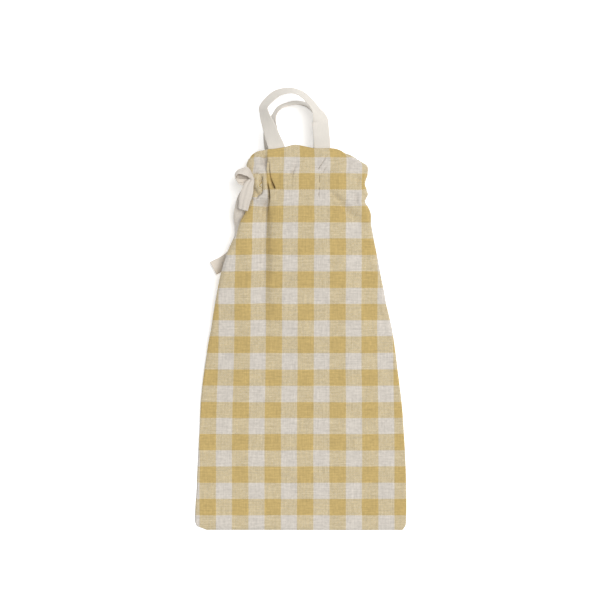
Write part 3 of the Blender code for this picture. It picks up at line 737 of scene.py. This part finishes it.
def mesh_object(name, corners, faces, uv):
    """An object from points in millimetres, faces, and a place on the cloth for each point."""
    mesh = bpy.data.meshes.new(name)
    mesh.from_pydata((corners * MM).tolist(), [], faces)
    layer = mesh.uv_layers.new(name="cloth")
    loops = np.empty(len(mesh.loops), np.int32)
    mesh.loops.foreach_get("vertex_index", loops)
    layer.data.foreach_set("uv", (uv[loops] * MM).astype(np.float32).ravel())
    mesh.shade_smooth()
    return placed(name, mesh)


def joined(name, parts):
    """One object from several, with all their meshes."""
    bpy.ops.object.select_all(action="DESELECT")
    for part in parts:
        part.select_set(True)
    bpy.context.view_layer.objects.active = parts[0]
    bpy.ops.object.join()
    parts[0].name = name
    parts[0].data.name = name
    return parts[0]


# ---- Tapes ----

PLEATS = 2.5                   # waves across a pleated tape


def tape_points(stations, width, steps, columns, cup=0.0, ripple=0.0, seed=0.0):
    """Grid of points and cloth places of a tape that follows its stations, and its length.

    width is the flat tape's. Stations with seven columns also say how wide and pleated it is."""
    rows = [(float(i), *row) for i, row in enumerate(stations)]
    at = np.linspace(0, len(rows) - 1, (len(rows) - 1) * steps + 1)
    x, y, z, compass, lift = (read(rows, column, at) for column in range(1, 6))
    squeezed = read(rows, 6, at) if len(stations[0]) > 5 else np.full(at.shape, width)
    pleat = read(rows, 7, at) if len(stations[0]) > 5 else np.zeros(at.shape)
    middle = vectors(x, y + MOUTH_Y, z)
    compass, lift = np.radians(compass), np.radians(lift)
    side = vectors(np.cos(lift) * np.cos(compass), np.cos(lift) * np.sin(compass), np.sin(lift))
    along = unit(np.gradient(middle, axis=0))
    side = unit(side - along * np.sum(side * along, axis=1, keepdims=True))
    face = np.cross(side, along)
    share = np.linspace(-0.5, 0.5, columns)
    length = np.concatenate(([0.0], path_length(middle, 0)))
    across, run = np.meshgrid(share * width, length)
    bow = cup * (1.0 - (2 * share) ** 2)[None, :] * (squeezed / width)[:, None]
    bow = bow + pleat[:, None] * np.cos(2 * math.pi * PLEATS * share + seed)[None, :]
    if ripple:
        bow += ripple * soft_noise(across, run, width * 0.7, width, seed)
    spread = share[None, :] * squeezed[:, None]
    points = middle[:, None] + side[:, None] * spread[..., None] + face[:, None] * bow[..., None]
    return points, np.stack((across, run), axis=-1), length[-1]


def tape_object(name, stations, width, thick, **shape):
    points, cloth, length = tape_points(stations, width, **shape)
    return sheet_object(name, points, grid_normals(points), thick, cloth), length


KNOT_FOLDS = 5
KNOT_FOLD_DEPTH = 0.10         # of its size


def knot_object(name):
    """The knot: a small lump with the tape's folds wound round it."""
    around, down, cap = 40, 24, 0.02
    turn, fall = np.meshgrid(
        np.linspace(0, 2 * math.pi, around + 1), np.linspace(cap, math.pi - cap, down))
    shape = vectors(np.sin(fall) * np.cos(turn), np.sin(fall) * np.sin(turn), np.cos(fall))
    wound = np.cos(KNOT_FOLDS * (turn + 0.9 * np.cos(fall)))
    fold = KNOT_FOLD_DEPTH * wound * np.sin(fall)
    points = shape * (1.0 + fold[..., None]) * np.array(KNOT_RADII)
    points += np.array(KNOT_PLACE) + np.array((0.0, MOUTH_Y, 0.0))
    index = np.arange(points.shape[0] * around).reshape(-1, around)
    following = np.roll(index, -1, axis=1)
    faces = np.stack((index[:-1], index[1:], following[1:], following[:-1]), axis=-1)
    faces = faces.reshape(-1, 4).tolist() + [index[0].tolist(), index[-1][::-1].tolist()]
    cloth = np.stack((turn * KNOT_RADII[0], fall * KNOT_RADII[1]), axis=-1)
    corners = points[:, :-1].reshape(-1, 3)
    return mesh_object(name, corners, faces, cloth[:, :-1].reshape(-1, 2))


# ---- Sewing ----

STITCH, STITCH_PITCH = 2.3, 3.0
THREAD_RADIUS = 0.22


def stitch_row(points, normals, offset):
    """Corners, faces and cloth places of a row of stitches along a line of points."""
    length = np.concatenate(([0.0], path_length(points, 0)))
    starts = np.arange(1.0, length[-1] - STITCH - 1.0, STITCH_PITCH)
    share = np.array((0.0, 0.12, 0.5, 0.88, 1.0))
    sink = np.array((-1.4, 0.2, 0.7, 0.2, -1.4)) * THREAD_RADIUS
    girth = np.array((0.5, 1.0, 1.1, 1.0, 0.5)) * THREAD_RADIUS
    at = starts[:, None] + share[None, :] * STITCH
    middle = np.stack([np.interp(at, length, points[:, axis]) for axis in range(3)], axis=-1)
    up = unit(np.stack([np.interp(at, length, normals[:, axis]) for axis in range(3)], axis=-1))
    along = unit(middle[:, -1:] - middle[:, :1])
    side = unit(np.cross(up, along))
    middle = middle + up * (offset + sink)[None, :, None]
    sides = 6
    turn = np.arange(sides) * 2 * math.pi / sides
    ring = (
        up[:, :, None] * np.cos(turn)[None, None, :, None]
        + side[:, :, None] * np.sin(turn)[None, None, :, None]
    ) * girth[None, :, None, None]
    corners = (middle[:, :, None] + ring).reshape(-1, 3)
    index = np.arange(len(corners)).reshape(len(starts), len(share), sides)
    following = np.roll(index, -1, axis=2)
    walls = np.stack((index[:, :-1], following[:, :-1], following[:, 1:], index[:, 1:]), axis=-1)
    faces = walls.reshape(-1, 4).tolist()
    faces += index[:, 0, ::-1].tolist() + index[:, -1].tolist()
    cloth = np.stack(np.broadcast_arrays(turn * THREAD_RADIUS, at[..., None]), axis=-1)
    return corners, faces, cloth.reshape(-1, 2)


def stitches(name, rows):
    """One object from several rows of stitches."""
    corners, faces, cloth, count = [], [], [], 0
    for row_corners, row_faces, row_cloth in rows:
        corners.append(row_corners)
        faces += [[corner + count for corner in face] for face in row_faces]
        cloth.append(row_cloth)
        count += len(row_corners)
    return mesh_object(name, np.concatenate(corners), faces, np.concatenate(cloth))


# ---- Materials ----

class Nodes:
    """Short calls for building a material's nodes."""

    def __init__(self, name):
        self.material = bpy.data.materials.new(name)
        self.material.use_nodes = True
        self.tree = self.material.node_tree
        self.shader = self.tree.nodes["Principled BSDF"]

    def link(self, value, socket):
        if isinstance(value, bpy.types.NodeSocket):
            self.tree.links.new(value, socket)
        else:
            socket.default_value = value

    def math(self, operation, a, b=0.0):
        node = self.tree.nodes.new("ShaderNodeMath")
        node.operation = operation
        for value, socket in zip((a, b), node.inputs):
            self.link(value, socket)
        return node.outputs[0]

    def plus(self, base, value, amount):
        """base, with so much of value added."""
        return self.math("ADD", base, self.math("MULTIPLY", value, amount))

    def cloth(self):
        """The two coordinates of the flat cloth, in metres."""
        source = self.tree.nodes.new("ShaderNodeUVMap")
        source.uv_map = "cloth"
        split = self.tree.nodes.new("ShaderNodeSeparateXYZ")
        self.tree.links.new(source.outputs[0], split.inputs[0])
        return split.outputs[0], split.outputs[1]

    def smooth(self, value, low, high):
        """0 below low, 1 above high."""
        node = self.tree.nodes.new("ShaderNodeMapRange")
        node.interpolation_type = "SMOOTHSTEP"
        self.link(value, node.inputs["Value"])
        self.link(low, node.inputs["From Min"])
        self.link(high, node.inputs["From Max"])
        return node.outputs[0]

    def noise(self, u, v, wide, long, detail=2.0):
        """Noise whose features are about that many metres wide and long."""
        join = self.tree.nodes.new("ShaderNodeCombineXYZ")
        self.link(self.math("DIVIDE", u, wide), join.inputs[0])
        self.link(self.math("DIVIDE", v, long), join.inputs[1])
        node = self.tree.nodes.new("ShaderNodeTexNoise")
        node.inputs["Scale"].default_value = 1.0
        node.inputs["Detail"].default_value = detail
        self.link(join.outputs[0], node.inputs["Vector"])
        return node.outputs["Fac"]

    def mix(self, share, a, b):
        """Colour a, or b where share is 1."""
        node = self.tree.nodes.new("ShaderNodeMix")
        node.data_type = "RGBA"
        self.link(share, node.inputs["Factor"])
        for value, socket in ((a, node.inputs["A"]), (b, node.inputs["B"])):
            self.link((*value, 1.0) if isinstance(value, tuple) else value, socket)
        return node.outputs["Result"]

    def scale(self, colour, amount):
        """A colour made lighter or darker."""
        node = self.tree.nodes.new("ShaderNodeVectorMath")
        node.operation = "SCALE"
        self.link(colour, node.inputs[0])
        self.link(amount, node.inputs["Scale"])
        return node.outputs[0]

    def bump(self, height, distance, strength):
        node = self.tree.nodes.new("ShaderNodeBump")
        node.inputs["Distance"].default_value = distance
        node.inputs["Strength"].default_value = strength
        self.link(height, node.inputs["Height"])
        self.tree.links.new(node.outputs[0], self.shader.inputs["Normal"])

    def finish(self, colour, roughness, sheen):
        self.link(colour, self.shader.inputs["Base Color"])
        self.link(roughness, self.shader.inputs["Roughness"])
        self.shader.inputs["Sheen Weight"].default_value = sheen
        self.shader.inputs["Sheen Roughness"].default_value = 0.6
        self.shader.inputs["Specular IOR Level"].default_value = 0.25
        return self.material


def weave(made, u, v, pitch):
    """Where the warp yarn is on top, and the height of the yarns, of a plain weave."""
    turn = math.pi / pitch
    warp_wave = made.math("SINE", made.math("MULTIPLY", u, turn))
    weft_wave = made.math("SINE", made.math("MULTIPLY", v, turn))
    over = made.smooth(made.math("MULTIPLY", warp_wave, weft_wave), -0.35, 0.35)
    warp_height = made.math("ABSOLUTE", warp_wave)
    weft_height = made.math("ABSOLUTE", weft_wave)
    height = made.math(
        "ADD",
        made.math("MULTIPLY", warp_height, over),
        made.math("MULTIPLY", weft_height, made.math("SUBTRACT", 1.0, over)),
    )
    return over, height


def stripe(made, at, centre, period):
    """1 on yarns that are yellow: half of each period, around the centre."""
    turns = made.math("DIVIDE", made.math("SUBTRACT", at, centre), period)
    turn = made.math("FRACT", made.math("ADD", turns, 0.5))
    off = made.math("ABSOLUTE", made.math("SUBTRACT", turn, 0.5))
    return made.math("SUBTRACT", 1.0, made.smooth(off, *STRIPE_SOFT))


def gingham_material():
    """Plain-woven linen in yellow and white yarns, each yarn a little uneven."""
    made = Nodes("gingham_linen")
    u, v = made.cloth()
    sway = made.math("MULTIPLY", made.math("SUBTRACT", made.noise(u, v, 0.05, 0.05), 0.5), 0.0012)
    u_yarn = made.math("ADD", u, sway)
    v_yarn = made.math("ADD", v, sway)
    over, height = weave(made, u_yarn, v_yarn, LINEN_PITCH)
    across = stripe(made, u_yarn, COLUMN_CENTRE, COLUMN_PERIOD)
    along = stripe(made, v_yarn, ROW_CENTRE, ROW_PERIOD)
    warp = made.mix(across, made.mix(along, WHITE_YARN, WARM_WHITE_YARN), YELLOW_YARN)
    weft = made.mix(along, made.mix(across, WHITE_YARN, WARM_WHITE_YARN), YELLOW_YARN)
    weft_slub = made.noise(u_yarn, v_yarn, 0.016, 0.0012, 3.0)
    warp_slub = made.noise(u_yarn, v_yarn, 0.0012, 0.018, 3.0)
    weft_streak = made.noise(u_yarn, v_yarn, 0.026, 0.0020, 2.0)
    warp_streak = made.noise(u_yarn, v_yarn, 0.0022, 0.030, 2.0)
    weft_tone = made.plus(made.plus(0.33, weft_slub, 0.72), weft_streak, 0.62)
    warp_tone = made.plus(made.plus(0.45, warp_slub, 0.62), warp_streak, 0.48)
    colour = made.mix(over, made.scale(weft, weft_tone), made.scale(warp, warp_tone))
    grain = made.noise(u, v, 0.0034, 0.0030, 3.0)
    cloudy = made.noise(u, v, 0.03, 0.03, 4.0)
    tone = made.plus(made.plus(0.76, cloudy, 0.08), grain, 0.40)
    relief = made.math("ADD", height, made.math("ADD", weft_slub, warp_slub))
    made.bump(relief, 0.00016, 0.8)
    return made.finish(made.scale(colour, tone), made.plus(0.84, cloudy, 0.12), 0.12)


def tape_material():
    """Herringbone cotton tape: twill that turns back at the tape's middle and quarters."""
    made = Nodes("cotton_tape")
    across, along = made.cloth()
    zigzag = made.math("PINGPONG", made.math("ADD", across, 0.02), 0.0033)
    slant = made.math("ADD", along, zigzag)
    rib = made.math("SINE", made.math("MULTIPLY", slant, 2 * math.pi / 0.0011))
    yarn = made.math("SINE", made.math("MULTIPLY", across, 2 * math.pi / 0.00055))
    height = made.plus(rib, yarn, 0.4)
    fibre = made.noise(across, along, 0.0012, 0.006, 3.0)
    cloudy = made.noise(across, along, 0.012, 0.02, 3.0)
    tone = made.plus(made.plus(made.plus(0.90, fibre, 0.09), cloudy, 0.07), rib, 0.018)
    colour = made.scale(made.mix(cloudy, TAPE_COLOUR, TAPE_SHADE), tone)
    made.bump(made.plus(height, fibre, 1.5), 0.00011, 0.8)
    return made.finish(colour, made.plus(0.80, fibre, 0.12), 0.15)


def ribbon_material():
    """Soft plain-woven tape of natural yarn, with fine ribs across it."""
    made = Nodes("drawstring_tape")
    across, along = made.cloth()
    over, height = weave(made, across, along, RIBBON_PITCH)
    slub = made.noise(across, along, 0.012, 0.0011, 3.0)
    cloudy = made.noise(across, along, 0.01, 0.02, 3.0)
    tone = made.plus(made.plus(0.90, slub, 0.12), cloudy, 0.08)
    colour = made.scale(made.mix(over, RIBBON_COLOUR, RIBBON_SHADE), tone)
    made.bump(made.math("ADD", height, slub), 0.00013, 0.8)
    return made.finish(colour, made.plus(0.82, slub, 0.12), 0.15)


def thread_material():
    """Twisted sewing thread."""
    made = Nodes("sewing_thread")
    across, along = made.cloth()
    slant = made.math("ADD", across, along)
    twist = made.math("SINE", made.math("MULTIPLY", slant, 2 * math.pi / 0.0005))
    made.bump(twist, 0.00004, 0.6)
    return made.finish(made.scale(THREAD_COLOUR, made.plus(0.95, twist, 0.05)), 0.7, 0.1)


# ---- Pieces ----

def declare(piece, node):
    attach(piece, "root")
    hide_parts(node)


def check_places(x, y, places, runs):
    """Where on the check each point of the front panel lies."""
    inside = (y > HOLLOW[0][0]) & (y < HOLLOW[-1][0])
    hollow = read(HOLLOW, 2, y) * ramp(read(HOLLOW, 1, y) - x, -0.3, 0.3) * inside
    slid = places + HOLLOW_ACROSS * hollow
    squeezed = HOLLOW_EDGE + HOLLOW_SQUEEZE * (slid - HOLLOW_EDGE)
    slid = np.maximum(np.where(slid > HOLLOW_EDGE, squeezed, slid), places)
    return np.stack((slid, runs + read(CHECK_SLIP, 1, runs) - HOLLOW_ALONG * hollow), axis=-1)


def cloth_pieces(linen, thread):
    """The two panels, and the seams that make the channel."""
    base, places, runs, depth = front_grid()
    relief = front_relief(base, places, runs, depth)
    points = base + grid_normals(base) * relief[..., None]
    single = ramp(runs, LOWER_STITCH, LOWER_STITCH + 1.5)
    thick = CLOTH + (HEADING_CLOTH - CLOTH) * (1.0 - single)
    normals = grid_normals(points)
    check = check_places(base[..., 0], base[..., 1], places, runs)
    front = sheet_object("front_cloth", points, normals, thick, check)
    front.data.materials.append(linen)
    declare(front, "front_panel")
    rows = [
        stitch_row(points[row], normals[row], HEADING_CLOTH / 2)
        for row in (np.argmin(np.abs(runs[:, 0] - seam)) for seam in (UPPER_STITCH, LOWER_STITCH))
    ]
    sewn = stitches("channel_stitches", rows)
    sewn.data.materials.append(thread)
    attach(sewn, "root")

    points, places, runs = back_grid()
    normals = grid_normals(points)
    back = sheet_object("back_cloth", points, normals, CLOTH, np.stack((places, runs), axis=-1))
    back.data.materials.append(linen)
    declare(back, "back_panel")


def handle_pieces(webbing):
    for name, node, stations, steps in (
        ("front_handle", "handle_front", FRONT_HANDLE, 8),
        ("back_handle", "handle_back", BACK_HANDLE, 12),
    ):
        piece, length = tape_object(
            name, stations, HANDLE_WIDTH, HANDLE_THICK, steps=steps, columns=17, cup=0.25)
        piece.data.materials.append(webbing)
        declare(piece, node)


def string_pieces(ribbon):
    parts, total = [], 0.0
    for name, stations in (
        ("loop", STRING_LOOP), ("short_tail", STRING_SHORT_TAIL), ("long_tail", STRING_LONG_TAIL),
    ):
        part, length = tape_object(
            name, stations, STRING_WIDTH, STRING_THICK, steps=10, columns=25, cup=1.2,
            ripple=0.7, seed=float(len(parts)))
        parts.append(part)
        total += length
    parts.append(knot_object("knot"))
    for part in parts:
        part.data.materials.append(ribbon)
    piece = joined("drawstring_ribbon", parts)
    declare(piece, "drawstring")


# ---- Stage ----

VIEW_CENTRE = (-0.6, 13.5)     # the point under the camera
VIEW_DISTANCE = 3000.0
VIEW_WIDTH = 762.0             # of the surface that the picture shows
SENSOR = 36.0
KEY_FROM = (0.8, 0.25, 2.75)   # the way to the soft light
KEY_SPREAD = 30.0              # the angle over which it shines
KEY_STRENGTH = 2.55
SKY_STRENGTH = 0.38
FLOOR_HALF = 30.0              # metres from its middle to its edge
FLOOR_SHADE = 0.93
FLOOR_GLOW = 0.38              # painted light: the floor itself glows a little, which keeps the shadow on it pale


def camera():
    data = bpy.data.cameras.new("camera")
    data.sensor_width = SENSOR
    data.lens = SENSOR * VIEW_DISTANCE / VIEW_WIDTH
    data.clip_end = 100.0
    made = placed("camera", data)
    made.location = (VIEW_CENTRE[0] * MM, VIEW_CENTRE[1] * MM, VIEW_DISTANCE * MM)
    bpy.context.scene.camera = made


def floor():
    made = Nodes("floor")
    made.shader.inputs["Base Color"].default_value = (FLOOR_SHADE, FLOOR_SHADE, FLOOR_SHADE, 1.0)
    made.shader.inputs["Roughness"].default_value = 0.9
    # painted light: the floor glows, though it is no lamp, so the shadow on it stays pale
    made.shader.inputs["Emission Color"].default_value = (1.0, 1.0, 1.0, 1.0)
    made.shader.inputs["Emission Strength"].default_value = FLOOR_GLOW
    corners = [(x * FLOOR_HALF, y * FLOOR_HALF, 0) for x, y in ((-1, -1), (1, -1), (1, 1), (-1, 1))]
    mesh = bpy.data.meshes.new("floor")
    mesh.from_pydata(corners, [], [(0, 1, 2, 3)])
    mesh.materials.append(made.material)
    ground = placed("floor", mesh)


def studio():
    world = bpy.data.worlds.new("studio")
    world.use_nodes = True
    background = world.node_tree.nodes["Background"]
    background.inputs["Color"].default_value = (1.0, 1.0, 1.0, 1.0)
    background.inputs["Strength"].default_value = SKY_STRENGTH
    bpy.context.scene.world = world
    bpy.context.scene.view_settings.view_transform = "Standard"
    data = bpy.data.lights.new("key", "SUN")
    data.angle = math.radians(KEY_SPREAD)
    data.energy = KEY_STRENGTH
    key = placed("key", data)
    key.rotation_euler = Vector(KEY_FROM).to_track_quat("Z", "Y").to_euler()


camera()
floor()
studio()
cloth_pieces(gingham_material(), thread_material())
handle_pieces(tape_material())
string_pieces(ribbon_material())
